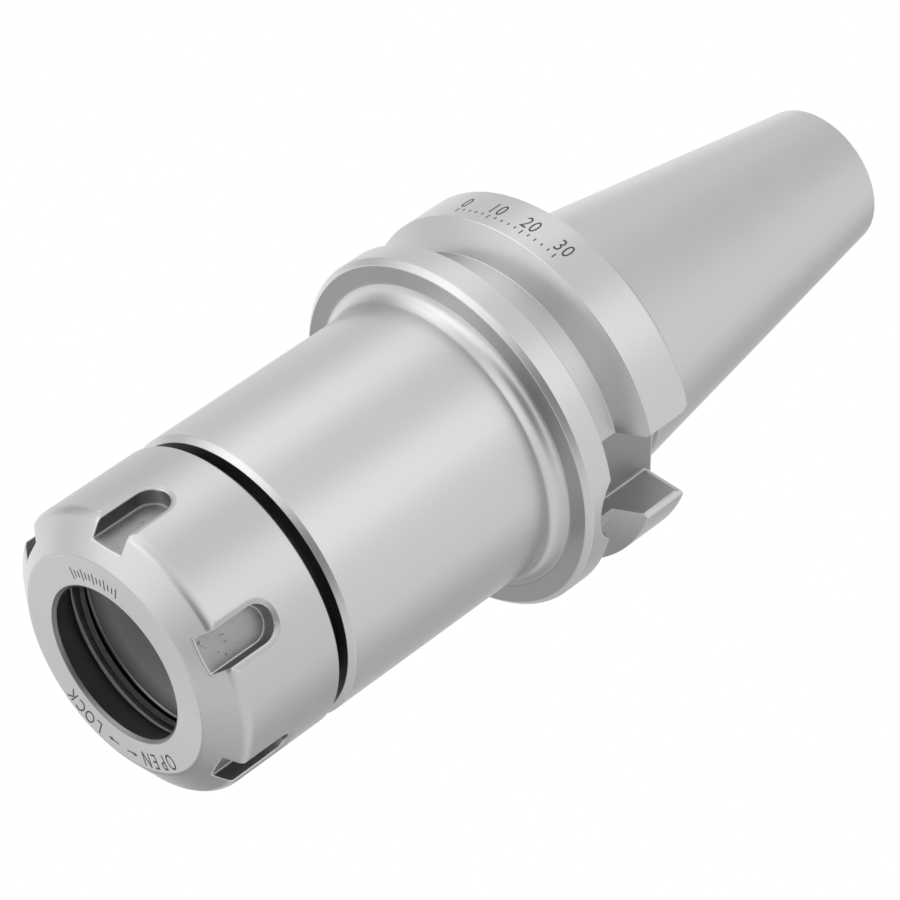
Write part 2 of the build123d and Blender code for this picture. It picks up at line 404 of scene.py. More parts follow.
def spread_top(cutter, top, along, across, centre):
    """Widens a cutter's outer end, along +Y and along +Z from the centre of its round end."""
    hold(cutter)
    bpy.ops.object.mode_set(mode="EDIT")
    pick("verts", lambda v: v.co.x > top - NEAR)
    bpy.ops.transform.resize(value=(1, across, along), center_override=(0, 0, centre))
    bpy.ops.object.mode_set(mode="OBJECT")


def turn_cutter(cutter, azimuth, steel):
    """Turns a cutter about the axis to its place and gives it the finish that it leaves."""
    cutter.data.transform(Matrix.Rotation(azimuth, 4, "Z"))
    cutter.data.materials.append(steel)


def cut(piece, cutter):
    """Takes the cutter's shape out of the piece. The new faces keep the cutter's finish."""
    hold(piece)
    modify(piece, "BOOLEAN", operation="DIFFERENCE", solver="EXACT", material_mode="TRANSFER", object=cutter)
    bpy.data.objects.remove(cutter)


def break_cut_edges(piece, steel, edge_steel, reach):
    """Breaks the edges round the faces that have the cut finish, and softens the corners between them."""
    crumbs = 0.03 * MM
    sharp = math.radians(25)
    hold(piece)
    number = piece.data.materials.find(steel.name)
    bpy.ops.object.mode_set(mode="EDIT")
    bpy.ops.mesh.select_all(action="SELECT")
    bpy.ops.mesh.remove_doubles(threshold=crumbs)
    bpy.ops.mesh.dissolve_degenerate(threshold=NEAR)

    def round_a_cut(edge):
        milled = [face.material_index == number for face in edge.link_faces]
        return len(milled) == 2 and any(milled) and edge.calc_face_angle(0) > sharp

    pick("edges", round_a_cut)
    bpy.ops.mesh.bevel(
        offset=reach, segments=EDGE_STEPS, affect="EDGES", clamp_overlap=False,
        material=piece.data.materials.find(edge_steel.name),
    )
    bpy.ops.object.mode_set(mode="OBJECT")


def smooth(piece, degrees=28):
    """Shades a piece smooth up to its sharp edges, with flat faces kept flat."""
    hold(piece)
    bpy.ops.object.shade_smooth_by_angle(angle=math.radians(degrees))
    modify(piece, "WEIGHTED_NORMAL", keep_sharp=True)


def paint(piece, steel, test, over=None):
    """Gives a finish to the faces that pass a test on their middle and normal, or to those of one finish."""
    if piece.data.materials.find(steel.name) < 0:
        piece.data.materials.append(steel)
    number = piece.data.materials.find(steel.name)
    for face in piece.data.polygons:
        held = over is None or piece.data.materials[face.material_index] == over
        if held and test(face.center, face.normal):
            face.material_index = number


def off_axis(place):
    """How far a place lies from the axis."""
    return math.hypot(place.x, place.y)


def faces_out(middle, normal):
    """How far a face looks away from the axis, from -1 to 1."""
    return (normal.x * middle.x + normal.y * middle.y) / off_axis(middle)


def is_front(middle, normal, height):
    """Whether a face is flat, looks to the nut's end and lies at a height."""
    return normal.z < -FLAT and abs(middle.z - height) < AT_PLANE


def thread_ridge(name, root, crest, pitch, start_z, end_z, steel):
    """One helical ridge with flat crest that stands on a turned root, inside or outside."""
    clear_selection()
    turns = math.floor((end_z - start_z) / pitch)
    half_foot, half_crest = HALF_FOOT * pitch, HALF_CREST * pitch
    bpy.ops.mesh.primitive_plane_add(size=2, location=(0, 0, 0), rotation=(math.pi / 2, 0, 0))
    ridge = bpy.context.object
    ridge.name = ridge.data.name = name
    bpy.ops.object.transform_apply(location=True, rotation=True, scale=False)
    middle = start_z + pitch / 2
    for corner in ridge.data.vertices:
        at_crest = corner.co.x > 0
        half = half_crest if at_crest else half_foot
        corner.co = Vector((crest if at_crest else root, 0, middle + math.copysign(half, corner.co.z)))
    modify(
        ridge, "SCREW", angle=FULL_TURN, screw_offset=pitch, iterations=turns, steps=THREAD_STEPS,
        render_steps=THREAD_STEPS, use_merge_vertices=False,
    )
    bpy.ops.object.mode_set(mode="EDIT")
    pick("edges", lambda e: e.is_boundary)
    bpy.ops.mesh.fill()
    bpy.ops.mesh.select_all(action="SELECT")
    bpy.ops.mesh.normals_make_consistent(inside=False)
    bpy.ops.object.mode_set(mode="OBJECT")
    ridge.data.materials.append(steel)
    smooth(ridge)
    return ridge


# Scales of the patterns on the steel, as spots a metre
CLOUDS = 45
GRIT = 1400
MILL_MARKS = 420
PITS = 1150
INK_GRAIN = 2500
# Part of the clouds' and of the pits' pattern that is used
CLOUD_RANGE = (0.2, 0.8)
PIT_RANGE = (0.68, 0.76)
# Lowest and highest roughness, as shares of the finish's own
TURNED_SPREAD = (0.88, 1.14)
MILLED_SPREAD = (0.85, 1.25)
CLOUD_SHARE, GRIT_SHARE = 0.6, 0.4
MILL_DEPTH = 0.08 * MM
INK_ROUGHNESS = 0.55
PALEST_INK = 3


def steel_looks():
    """The colours, edges and steps that the sidebar holds."""
    return bpy.context.scene.steel_looks


def finish(name, surface, *values, **more):
    """The material of that name. Its nodes are drawn when it is first asked for."""
    made = bpy.data.materials.get(name)
    if made is None:
        made = bpy.data.materials.new(name)
        made.use_nodes = True
        shader = made.node_tree.nodes["Principled BSDF"].inputs
        surface(made.node_tree, shader, *values, **more)
    return made


def feed(tree, inputs, values):
    """Sets inputs to values, or links them to other nodes' outputs."""
    for place, value in values.items():
        if isinstance(value, bpy.types.NodeSocket):
            tree.links.new(value, inputs[place])
        else:
            inputs[place].default_value = value


def node(tree, kind, output, values, **settings):
    """Adds a shader node with its settings and inputs, and gives one of its outputs."""
    made = tree.nodes.new("ShaderNode" + kind)
    for name, value in settings.items():
        setattr(made, name, value)
    feed(tree, made.inputs, values)
    return made.outputs[output]


def parts(tree, vector):
    """The X, Y and Z of a vector."""
    made = tree.nodes.new("ShaderNodeSeparateXYZ")
    feed(tree, made.inputs, {0: vector})
    return made.outputs


def maths(tree, operation, *values):
    """The result of one operation on numbers or outputs."""
    return node(tree, "Math", 0, dict(enumerate(values)), operation=operation)


def noise(tree, scale, detail, roughness, vector=None):
    """A noise pattern, in the piece's own coordinates unless it is given others."""
    if vector is None:
        vector = node(tree, "TexCoord", "Object", {})
    values = {"Vector": vector, "Scale": scale, "Detail": detail, "Roughness": roughness}
    return node(tree, "TexNoise", "Fac", values)


def ranged(tree, value, low, high, low_result=0, high_result=1, **settings):
    """Carries one range of a value over to another, and stops at its ends."""
    limits = {"From Min": low, "From Max": high, "To Min": low_result, "To Max": high_result}
    return node(tree, "MapRange", "Result", {"Value": value, **limits}, **settings)


def mixed(tree, factor, first, second):
    """A colour between two colours."""
    return node(tree, "Mix", "Result", {"Factor": factor, "A": first, "B": second}, data_type="RGBA")


def toned(base, factor):
    """A colour made darker or lighter by a factor."""
    return (*[min(1, part * factor) for part in base], 1)


def bump(tree, height, depth):
    """A normal that follows a pattern of the given depth."""
    return node(tree, "Bump", "Normal", {"Strength": 1, "Distance": depth, "Height": height})


def turned_surface(tree, shader, base, lines, depth, mottle, gloss=None, grain=None, metallic=1, fade=None):
    """Lines that run round the axis, a fine mottle and a soft change of roughness.

    Without its own gloss and grain it takes those of the ground outside. A fade is two heights along the
    axis and the share of the colour that is left at the first.
    """
    gloss = steel_looks().ground_gloss if gloss is None else gloss
    grain = steel_looks().grain if grain is None else grain
    x, y, z = parts(tree, node(tree, "TexCoord", "Object", {}))
    across = node(tree, "CombineXYZ", 0, {"X": x, "Y": y})
    radius = node(tree, "VectorMath", "Value", {0: across}, operation="LENGTH")
    section = node(tree, "CombineXYZ", 0, {"X": radius, "Z": z})
    ridges = noise(tree, lines, 3, 0.6, section)
    cloud = noise(tree, CLOUDS, 4, 0.55)
    grit = maths(tree, "MULTIPLY", noise(tree, GRIT, 2, 0.6), GRIT_SHARE)
    spots = maths(tree, "MULTIPLY_ADD", cloud, CLOUD_SHARE, grit)
    shade = mixed(tree, spots, toned(base, 1 - mottle), toned(base, 1 + mottle / 2))
    # A fade paints shade: the colour grows darker towards the first height.
    if fade is not None:
        left = ranged(tree, z, *fade)
        shade = node(tree, "VectorMath", "Vector", {0: shade, "Scale": left}, operation="SCALE")
    low, high = TURNED_SPREAD
    feed(tree, shader, {
        "Base Color": shade,
        "Metallic": metallic,
        "Anisotropic": grain,
        "Roughness": ranged(tree, cloud, *CLOUD_RANGE, gloss * low, gloss * high),
        "Normal": bump(tree, ridges, depth),
        "Tangent": node(tree, "Tangent", 0, {}, direction_type="RADIAL", axis="Z"),
    })


def milled_surface(tree, shader, base, mottle, pit, ends=None):
    """A coarse mottle, a few small dark pits and a rough bump.

    Where there are ends, faces take the ends' paler colour as far as they look along the axis, so the sides
    keep the darker colour as painted shade.
    """
    gloss = steel_looks().milled_gloss
    cloud = noise(tree, MILL_MARKS, 4, 0.6)
    pits = ranged(tree, noise(tree, PITS, 1, 0.5), *PIT_RANGE)
    shade = mixed(tree, cloud, toned(base, 1 - mottle), toned(base, 1 + mottle))
    shade = mixed(tree, pits, shade, toned(base, 1 - pit))
    # Colour by the normal: painted shade on the sides, the paler colour on the ends.
    if ends is not None:
        facing = parts(tree, node(tree, "NewGeometry", "Normal", {}))
        shade = mixed(tree, maths(tree, "ABSOLUTE", facing["Z"]), shade, toned(ends, 1))
    low, high = MILLED_SPREAD
    feed(tree, shader, {
        "Base Color": shade,
        "Metallic": 1,
        "Roughness": ranged(tree, cloud, 0, 1, gloss * low, gloss * high),
        "Normal": bump(tree, cloud, mottle * MILL_DEPTH),
    })


def etched_surface(tree, shader, ink):
    """A dark grey, a little uneven."""
    cloud = noise(tree, INK_GRAIN, 2, 0.5)
    shade = mixed(tree, cloud, toned(ink, 1), toned(ink, PALEST_INK))
    feed(tree, shader, {"Base Color": shade, "Roughness": INK_ROUGHNESS})


def turned_steel(name, base, lines, depth, mottle, **more):
    """A turned or ground finish. Its lines are so many a metre and so many millimetres deep."""
    return finish(name, turned_surface, base, lines, depth * MM, mottle, **more)


def ground_steel():
    """The ground outside of the holder."""
    return turned_steel("ground_steel", steel_looks().ground, 2600, 0.004, 0.05)


def nut_steel():
    """The turned and polished outside of the nut."""
    return turned_steel("nut_rim_steel", steel_looks().nut, 2200, 0.004, 0.06)


def nut_face_steel():
    """The polished flat face of the nut, painted lighter than its rim as painted light."""
    return turned_steel("nut_face_steel", steel_looks().nut_face, 2200, 0.004, 0.04)


def flange_face_steel():
    """The turned front face of the flange, painted darker as painted shade."""
    return turned_steel("flange_face_steel", steel_looks().flange_face, 1600, 0.006, 0.06, grain=0.6)


def groove_steel():
    """The turned V groove of the flange, painted darker as painted shade."""
    return turned_steel("groove_steel", steel_looks().groove, 1600, 0.006, 0.08)


def bore_steel():
    """Steel painted dark as painted shade, inside the nut, in the thread relief and on the nose thread."""
    return turned_steel("bore_steel", steel_looks().bore, 1800, 0.006, 0.12, gloss=0.34, grain=0.3)


def polished_steel():
    """A painted highlight: a thin pale, nearly matt line at the wide end of the nut's inner cone and on the
    snap groove's wall behind it.
    """
    base = steel_looks().polished
    return turned_steel("polished_steel", base, 1800, 0.002, 0.05, gloss=0.25, grain=0.3, metallic=0.15)


def ring_steel():
    """The bore of the extraction ring."""
    return turned_steel("ring_steel", steel_looks().ring, 1800, 0.012, 0.35, gloss=0.5, grain=0.2)


def recess_steel():
    """The front of the extraction ring, in the shade of the inner cone."""
    return turned_steel("recess_steel", steel_looks().recess, 1800, 0.006, 0.12, gloss=0.4, grain=0.2)


def seat_steel():
    """The collet seat and the holes behind it, painted darker close to the mouth as painted shade."""
    fade = (body_low.z + 0.2 * MM, body_low.z + 2.8 * MM, 0.3)
    return turned_steel(
        "seat_steel", steel_looks().seat, 1400, 0.008, 0.14, gloss=0.45, grain=0.2, metallic=0.1, fade=fade
    )


def slot_floor_steel():
    """The mottled floors that the cutter left in the wrench slots."""
    return finish("slot_floor_steel", milled_surface, steel_looks().slot_floor, mottle=0.2, pit=0.5)


def slot_edge_steel():
    """The broken edges of the wrench slots on the rim."""
    return finish("slot_edge_steel", milled_surface, steel_looks().slot_edge, mottle=0.08, pit=0.1)


def slot_wall_steel():
    """The walls of the wrench slots, painted darker on their sides as painted shade, with paler round ends.
    """
    looks = steel_looks()
    return finish(
        "slot_wall_steel", milled_surface, looks.slot_wall, mottle=0.12, pit=0.3, ends=looks.slot_end
    )


def keyway_steel():
    """The finely milled keyways."""
    return finish("keyway_steel", milled_surface, steel_looks().keyway, mottle=0.05, pit=0.1)


def etched_ink():
    """The dark grey of the etched marks."""
    return finish("etched_mark", etched_surface, steel_looks().etched)


def body_outline(s, soft):
    """Half the holder's section, from the pull stud hole over the outside to the collet seat and back."""
    top = s.taper_length
    small_end = s.gauge_radius - top * TAPER_RATE / 2
    groove_rear = s.groove_centre - s.groove_width / 2
    groove_front = s.groove_centre + s.groove_width / 2
    groove_slope = (s.flange_radius - s.groove_radius) * math.tan(s.groove_slant)
    nose_face = -body_low.z
    crest = s.thread_radius - s.nose_chamfer
    seat_start = nose_face - s.seat_mouth_chamfer
    seat_end = seat_start - (s.seat_radius - s.seat_end_radius) / math.tan(s.seat_half_angle)
    pilot_end = top - s.pilot_depth
    tap_end = top - s.tap_depth
    relief_cone = s.relief_bore_end - (s.relief_bore_radius - s.through_radius) * DRILL_SLOPE
    return [
        (s.pilot_radius + s.entry_chamfer, top, soft),
        (small_end - s.small_end_chamfer, top, soft),
        (small_end + s.small_end_chamfer * TAPER_RATE / 2, top - s.small_end_chamfer, soft),
        (s.gauge_radius, 0, soft),
        (s.neck_radius, s.neck_radius - s.gauge_radius, 0),
        (s.neck_radius, -s.neck_length, soft),
        (s.flange_radius - s.flange_rear_chamfer, -s.neck_length, soft),
        (s.flange_radius, -s.neck_length - s.flange_rear_chamfer, soft),
        (s.flange_radius, -groove_rear, soft),
        (s.groove_radius, -groove_rear - groove_slope, soft),
        (s.groove_radius, -groove_front + groove_slope, soft),
        (s.flange_radius, -groove_front, soft),
        (s.flange_radius, -s.flange_front + s.flange_front_chamfer, soft),
        (s.flange_radius - s.flange_front_chamfer, -s.flange_front, soft),
        (s.nose_radius, -s.flange_front, s.nose_fillet),
        (s.nose_radius, -s.shoulder + s.shoulder_chamfer, soft),
        (s.nose_radius - s.shoulder_chamfer, -s.shoulder, soft),
        (s.relief_radius, -s.shoulder, 0),
        (s.relief_radius, -s.relief_end, 0),
        (s.thread_root, -s.relief_end - (s.thread_root - s.relief_radius), 0),
        (s.thread_root, -nose_face + s.thread_root - crest, 0),
        (crest, -nose_face, soft),
        (s.seat_radius + s.seat_mouth_chamfer, -nose_face, soft),
        (s.seat_radius, -seat_start, soft),
        (s.seat_end_radius, -seat_end, 0),
        (s.relief_bore_radius, -seat_end, 0),
        (s.relief_bore_radius, -s.relief_bore_end, 0),
        (s.through_radius, -relief_cone, 0),
        (s.through_radius, tap_end - (s.tap_root - s.through_radius) * DRILL_SLOPE, 0),
        (s.tap_root, tap_end, 0),
        (s.tap_root, pilot_end - (s.pilot_radius - s.tap_root), soft),
        (s.pilot_radius, pilot_end, 0),
        (s.pilot_radius, top - s.entry_chamfer, soft),
    ]


def inner_cone_end(s):
    """Gauge plane to the wide end of the nut's inner cone."""
    rise = s.cone_end_radius - s.opening_radius
    return -nut_low.z - s.opening_chamfer - rise / math.tan(s.cone_half_angle)


def nut_outline(s, soft):
    """Half the nut's section, from the threaded end over the outside to the opening and back."""
    rear, front = -nut_high.z, -nut_low.z
    cone_start = front - s.opening_chamfer
    cone_end = inner_cone_end(s)
    ring_front = cone_end - s.snap_width
    ring_rear = ring_front - s.ring_width
    recess_rear = ring_rear - s.recess_length
    ring_blank = s.ring_radius - s.ring_offset
    return [
        (s.bore_radius + s.entry_chamfer, -rear, soft),
        (s.radius - s.rear_chamfer, -rear, soft),
        (s.radius, -rear - s.rear_chamfer, soft),
        (s.radius, -front + s.front_cone_length, s.corner_soft),
        (s.face_ring_radius, -front, s.ring_soft),
        (s.opening_radius + s.opening_chamfer, -front, soft),
        (s.opening_radius, -cone_start, soft),
        (s.cone_end_radius, -cone_end, s.cone_edge),
        (s.snap_radius, -cone_end, 0),
        (s.snap_radius, -ring_front, 0),
        (ring_blank, -ring_front, 0),
        (ring_blank, -ring_rear, 0),
        (s.recess_radius, -ring_rear, 0),
        (s.recess_radius, -recess_rear, 0),
        (s.bore_radius, -recess_rear + s.recess_radius - s.bore_radius, 0),
        (s.bore_radius, -rear - s.entry_chamfer, 0),
    ]


def mill_keyway(body, s, side):
    """Mills one drive keyway and breaks its walls' edges along the rear land."""
    edge_x = math.sqrt(s.flange_radius**2 - s.key_width**2 / 4) - s.key_edge_depth
    beyond = s.flange_radius + 2.5 * MM
    edge_spread = (beyond - edge_x) * math.tan(s.key_edge_angle)
    rear = -s.neck_length
    mouth_start, mouth_top = rear - s.key_flare, 4 * MM
    past, clear = 0.2 * MM, 1 * MM
    floor_break = (
        (rear - s.key_floor_chamfer, 0),
        (rear + past, s.key_floor_chamfer + past),
        (rear + clear, 0),
        (mouth_top, 0),
    )
    bar = slot_cutter("key_bar", s.key_width, s.key_floor, -s.key_end, mouth_start, beyond)
    widen_mouth(bar, s.key_floor, mouth_start, floor_break)
    turn_cutter(bar, side, keyway_steel())
    cut(body, bar)
    edge = edge_cutter("key_edge", s.key_width, edge_x, beyond, edge_spread, -s.groove_centre, mouth_start)
    widen_mouth(edge, edge_x, mouth_start, ((mouth_top, 0),))
    turn_cutter(edge, side, ground_steel())
    cut(body, edge)


def paint_holder(body, s):
    """Gives the gap the bore's painted shade, the collet seat its steel with painted shade near the mouth,
    and the V groove and the flange's front face steel painted darker as painted shade.
    """
    gap_edge = s.nose_radius - s.shoulder_chamfer
    gap_top = 0.1 * MM - s.shoulder
    seat_edge = s.seat_radius - 0.02 * MM
    groove_edge = s.flange_radius - 0.2 * MM
    groove_reach = s.groove_width / 2
    # The thread relief that the nut hides gets the bore's painted shade.
    paint(body, bore_steel(), lambda c, n: c.z < gap_top and off_axis(c) < gap_edge)
    paint(body, seat_steel(), lambda c, n: off_axis(c) < seat_edge and faces_out(c, n) < -SQUARE)
    # The V groove gets its painted shade.
    paint(
        body, groove_steel(),
        lambda c, n: s.nose_radius < off_axis(c) < groove_edge and abs(c.z + s.groove_centre) < groove_reach,
        over=ground_steel(),
    )
    # The flange's front face gets its painted shade.
    paint(body, flange_face_steel(), lambda c, n: is_front(c, n, -s.flange_front), over=ground_steel())


class TurnHolderBody(bpy.types.Operator):
    """Turn the holder body and mill its two drive keyways"""

    bl_idname = "holder.turn_body"
    bl_label = "Holder body"

    def execute(self, context):
        s, looks = context.scene.holder_sizes, steel_looks()
        body = turn_section("turned_holder", body_outline(s, looks.edge_break), looks.holder_steps)
        body.data.materials.append(ground_steel())
        for side in (0, math.pi):
            mill_keyway(body, s, side)
        break_cut_edges(body, keyway_steel(), ground_steel(), looks.slot_break)
        paint_holder(body, s)
        smooth(body)
        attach(body, "holder")
        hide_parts("holder_body")
        return {"FINISHED"}


class CutHolderThreads(bpy.types.Operator):
    """Cut the nose thread and the pull stud thread"""

    bl_idname = "holder.cut_threads"
    bl_label = "Threads"

    def execute(self, context):
        s = context.scene.holder_sizes
        sunk = 0.02 * MM
        # The nose thread, inside the nut, gets the bore's painted shade.
        nose = thread_ridge(
            "nose_thread", s.thread_root - sunk, s.thread_radius, s.thread_pitch,
            body_low.z + s.nose_chamfer, -s.relief_end - s.thread_pitch / 2, bore_steel(),
        )
        tap = thread_ridge(
            "pull_stud_thread", s.tap_root + sunk, s.tap_minor, s.tap_pitch,
            s.taper_length - s.tap_depth, s.taper_length - s.pilot_depth - s.tap_pitch / 2, seat_steel(),
        )
        for ridge in (nose, tap):
            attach(ridge, "holder")
        return {"FINISHED"}


def paint_nut(nut, s):
    """Gives the bore its painted shade, the flat face its painted light, the inner cone's wide end and the
    snap groove's wall a painted highlight, and the ring's front its finish in the shade.
    """
    cone_end = inner_cone_end(s)
    ring_front = s.snap_width - cone_end
    inwards, not_rear = -0.3, 0.95
    # Faces that look inwards get the bore's painted shade.
    paint(nut, bore_steel(), lambda c, n: faces_out(c, n) < inwards)
    # The flat face gets the nut's steel painted lighter, as painted light.
    paint(nut, nut_face_steel(), lambda c, n: is_front(c, n, nut_low.z))
    # Painted highlight on the round at the inner cone's wide end.
    paint(nut, polished_steel(), lambda c, n: (
        abs(off_axis(c) - s.cone_end_radius) < s.cone_edge and abs(c.z + cone_end) < s.cone_edge
        and n.z < not_rear
    ))
    # Painted highlight on the snap groove's wall.
    paint(nut, polished_steel(), lambda c, n: faces_out(c, n) < -SQUARE and -cone_end < c.z < ring_front)
    paint(nut, recess_steel(), lambda c, n: is_front(c, n, ring_front))


def bore_ring(nut, s, steps):
    """Bores the extraction ring off centre."""
    ring_front = s.snap_width - inner_cone_end(s)
    run_out = 0.4 * MM
    clear_selection()
    bpy.ops.mesh.primitive_cylinder_add(
        vertices=steps, radius=s.ring_radius, depth=s.ring_width + run_out,
        location=(s.ring_offset, 0, ring_front + s.ring_width / 2),
    )
    borer = bpy.context.object
    bpy.ops.object.transform_apply(location=True, rotation=False, scale=False)
    borer.data.materials.append(ring_steel())
    cut(nut, borer)


def mill_slot(nut, s, azimuth):
    """Mills one wrench slot down to its floor and breaks its edge on the rim."""
    centre = -s.slot_apex - s.slot_width / 2
    half = s.slot_width / 2
    bar_end, bar_top = nut_low.z - 6 * MM, s.radius + 5 * MM
    edge_end, edge_top = nut_low.z - 4 * MM, s.radius + 0.4 * MM
    play = 0.06 * MM
    edge_reach = edge_top - s.slot_edge
    side_rise = math.sqrt(s.radius**2 - (half + s.slot_edge_side) ** 2) - s.slot_edge
    side_spread = s.slot_edge_side * edge_reach / side_rise
    end_spread = s.slot_edge_end * edge_reach / (s.radius - s.slot_edge)
    bar = slot_cutter("slot_bar", s.slot_width, s.slot_floor, centre, bar_end, bar_top)
    turn_cutter(bar, azimuth, slot_floor_steel())
    cut(nut, bar)
    edge = slot_cutter("slot_edge", s.slot_width - play, s.slot_edge, centre, edge_end, edge_top)
    spread_top(edge, edge_top, 1 + end_spread / half, 1 + side_spread / half, centre)
    turn_cutter(edge, azimuth, slot_edge_steel())
    cut(nut, edge)


class TurnClampingNut(bpy.types.Operator):
    """Turn the clamping nut, bore its ring off centre and mill its wrench slots"""

    bl_idname = "holder.turn_nut"
    bl_label = "Clamping nut"

    def execute(self, context):
        s, looks = context.scene.nut_sizes, steel_looks()
        wall = 0.5
        nut = turn_section("turned_nut", nut_outline(s, looks.edge_break), looks.nut_steps)
        nut.data.materials.append(nut_steel())
        paint_nut(nut, s)
        bore_ring(nut, s, looks.nut_steps)
        for k in range(s.slot_count):
            mill_slot(nut, s, s.slot_turn + FULL_TURN * k / s.slot_count)
        break_cut_edges(nut, slot_floor_steel(), nut_steel(), looks.slot_break)
        # Slot faces that don't look outwards get the walls' painted shade.
        paint(nut, slot_wall_steel(), lambda c, n: faces_out(c, n) < wall, over=slot_floor_steel())
        smooth(nut)
        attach(nut, "nut")
        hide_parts("clamping_nut")
        return {"FINISHED"}


def etched_glyph(letter, height, width, stand_out):
    """One letter or number as a thin plate, its foot on the line and its middle at the origin."""
    clear_selection()
    bpy.ops.object.text_add()
    glyph = bpy.context.object
    glyph.data.body = letter
    glyph.data.align_x = "CENTER"
    glyph.data.size = height / CAP_SHARE
    glyph.data.offset = -THINNER * height
    glyph.data.extrude = stand_out
    bpy.ops.object.convert(target="MESH")
    glyph.data.transform(Matrix.Diagonal((width, 1, 1, 1)))
    return glyph


def etched_bar(length_along, stroke, stand_out):
    """One straight line as a thin plate along X, with its middle at the origin."""
    clear_selection()
    bpy.ops.mesh.primitive_cube_add(size=1)
    bar = bpy.context.object
    bar.scale = (length_along, stroke, 2 * stand_out)
    bpy.ops.object.transform_apply(location=False, rotation=False, scale=True)
    return bar


def etched_arrow(marks):
    """A thin arrow along +X, with its middle at the origin."""
    arrow = etched_bar(marks.arrow_length, marks.stroke, marks.height)
    tip, point = marks.arrow_length / 2, 0.1
    bpy.ops.object.mode_set(mode="EDIT")
    pick("faces", lambda f: f.normal.x > SQUARE)
    bpy.ops.transform.translate(value=(-marks.arrow_head, 0, 0))
    bpy.ops.mesh.extrude_region_move(TRANSFORM_OT_translate={"value": (0, 0, 0)})
    bpy.ops.transform.resize(value=(1, marks.arrow_head / marks.stroke, 1), center_override=(tip, 0, 0))
    bpy.ops.mesh.extrude_region_move(TRANSFORM_OT_translate={"value": (marks.arrow_head, 0, 0)})
    bpy.ops.transform.resize(value=(1, point, 1), center_override=(tip, 0, 0))
    bpy.ops.object.mode_set(mode="OBJECT")
    return arrow


def face_place(azimuth, radius):
    """The place on the nut's face where a mark's top points away from the axis."""
    out = Vector((math.cos(azimuth), math.sin(azimuth), 0))
    along = Vector((-out.y, out.x, 0))
    return place_matrix(along, out, Vector((0, 0, -1)), out * radius + Vector((0, 0, nut_low.z)))


def land_place(azimuth, radius, height):
    """The place on a land round the axis where a mark's top points to the small end."""
    out = Vector((math.cos(azimuth), math.sin(azimuth), 0))
    along = Vector((-out.y, out.x, 0))
    return place_matrix(along, Vector((0, 0, 1)), out, out * radius + Vector((0, 0, height)))


def place_matrix(right, up, out, origin):
    """The matrix that carries a mark from the plane to its place."""
    turned = Matrix((right, up, out)).transposed().to_4x4()
    return Matrix.Translation(origin) @ turned


def join_marks(name, marks):
    """Joins placed marks into one piece with the etched finish. Each is a made mark and its matrix."""
    for mark, matrix in marks:
        mark.data.transform(matrix)
    clear_selection()
    for mark, _ in marks:
        mark.select_set(True)
    bpy.context.view_layer.objects.active = marks[0][0]
    bpy.ops.object.join()
    piece = bpy.context.object
    piece.name = piece.data.name = name
    piece.data.materials.clear()
    piece.data.materials.append(etched_ink())
    return piece


def face_words(s):
    """The two words for the nut's turning direction, with the feet of their letters on one circle."""
    foot = s.letter_radius - s.letter_height / 2
    letters = []
    for word, middle in (("LOCK", s.lock_turn), ("OPEN", s.open_turn)):
        for k, letter in enumerate(word):
            azimuth = middle + (k - (len(word) - 1) / 2) * s.letter_pitch
            glyph = etched_glyph(letter, s.letter_height, s.letter_width, s.height)
            letters.append((glyph, face_place(azimuth, foot)))
    return letters


def face_arrows(s):
    """The two arrows between the words, each towards its own word."""
    between = (s.lock_turn + s.open_turn) / 2
    arrows = []
    for side in (1, -1):
        place = face_place(between + side * s.arrow_turn, s.letter_radius)
        arrows.append((etched_arrow(s), place @ Matrix.Diagonal((side, side, 1, 1))))
    return arrows


def face_ticks(s):
    """The row of ticks on the nut's face, every third of them long."""
    middle_radius = s.letter_radius - 1.2 * MM
    ticks = []
    for k in range(-FACE_TICKS, FACE_TICKS + 1):
        tick = etched_bar(s.face_tick * (1 if k % LONG_EVERY == 0 else SHORT_TICK), s.stroke, s.height)
        place = face_place(s.face_scale_turn + math.radians(FACE_TICK_STEP * k), middle_radius)
        ticks.append((tick, place @ QUARTER_TURN))
    return ticks


def flange_scale(s, radius):
    """The numbers on the flange's rear land, with a long tick under each and short ones up to the next."""
    numbers = ("0", "10", "20", "30")
    gap = 0.6 * MM
    marks = []
    for k, number in enumerate(numbers):
        middle = s.scale_turn + (k - (len(numbers) - 1) / 2) * s.number_pitch
        for j, figure in enumerate(number):
            shift = (j - (len(number) - 1) / 2) * FIGURE_PITCH * s.number_height / radius
            glyph = etched_glyph(figure, s.number_height, s.letter_width * NUMBER_WIDTH, s.height)
            marks.append((glyph, land_place(middle + shift, radius, s.number_z)))
        last = number == numbers[-1]
        for j in range(1 if last else TICKS_A_NUMBER):
            size = s.scale_tick * (1 if j == 0 else SHORT_TICK)
            tick = etched_bar(size, s.stroke, s.height)
            azimuth = middle + s.number_pitch * j / TICKS_A_NUMBER
            place = land_place(azimuth, radius, s.number_z - gap - size / 2)
            marks.append((tick, place @ QUARTER_TURN))
    return marks


class EtchMarks(bpy.types.Operator):
    """Etch the plain marks on the nut's face and on the flange"""

    bl_idname = "holder.etch_marks"
    bl_label = "Marks"

    def execute(self, context):
        s = context.scene.mark_sizes
        nut_marks = join_marks("nut_marks", face_words(s) + face_arrows(s) + face_ticks(s))
        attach(nut_marks, "nut")
        flange_marks = join_marks("flange_marks", flange_scale(s, context.scene.holder_sizes.flange_radius))
        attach(flange_marks, "holder")
        return {"FINISHED"}


# A lamp is its name, its azimuth and elevation in degrees, its distance and side in metres, and its watts
LAMPS = (
    ("left_box", -121, 30, 0.9, 0.45, 0.10),
    ("right_box", -48, 28, 0.9, 0.5, 0.12),
    ("far_box", 150, 50, 0.9, 0.6, 0.2),
)
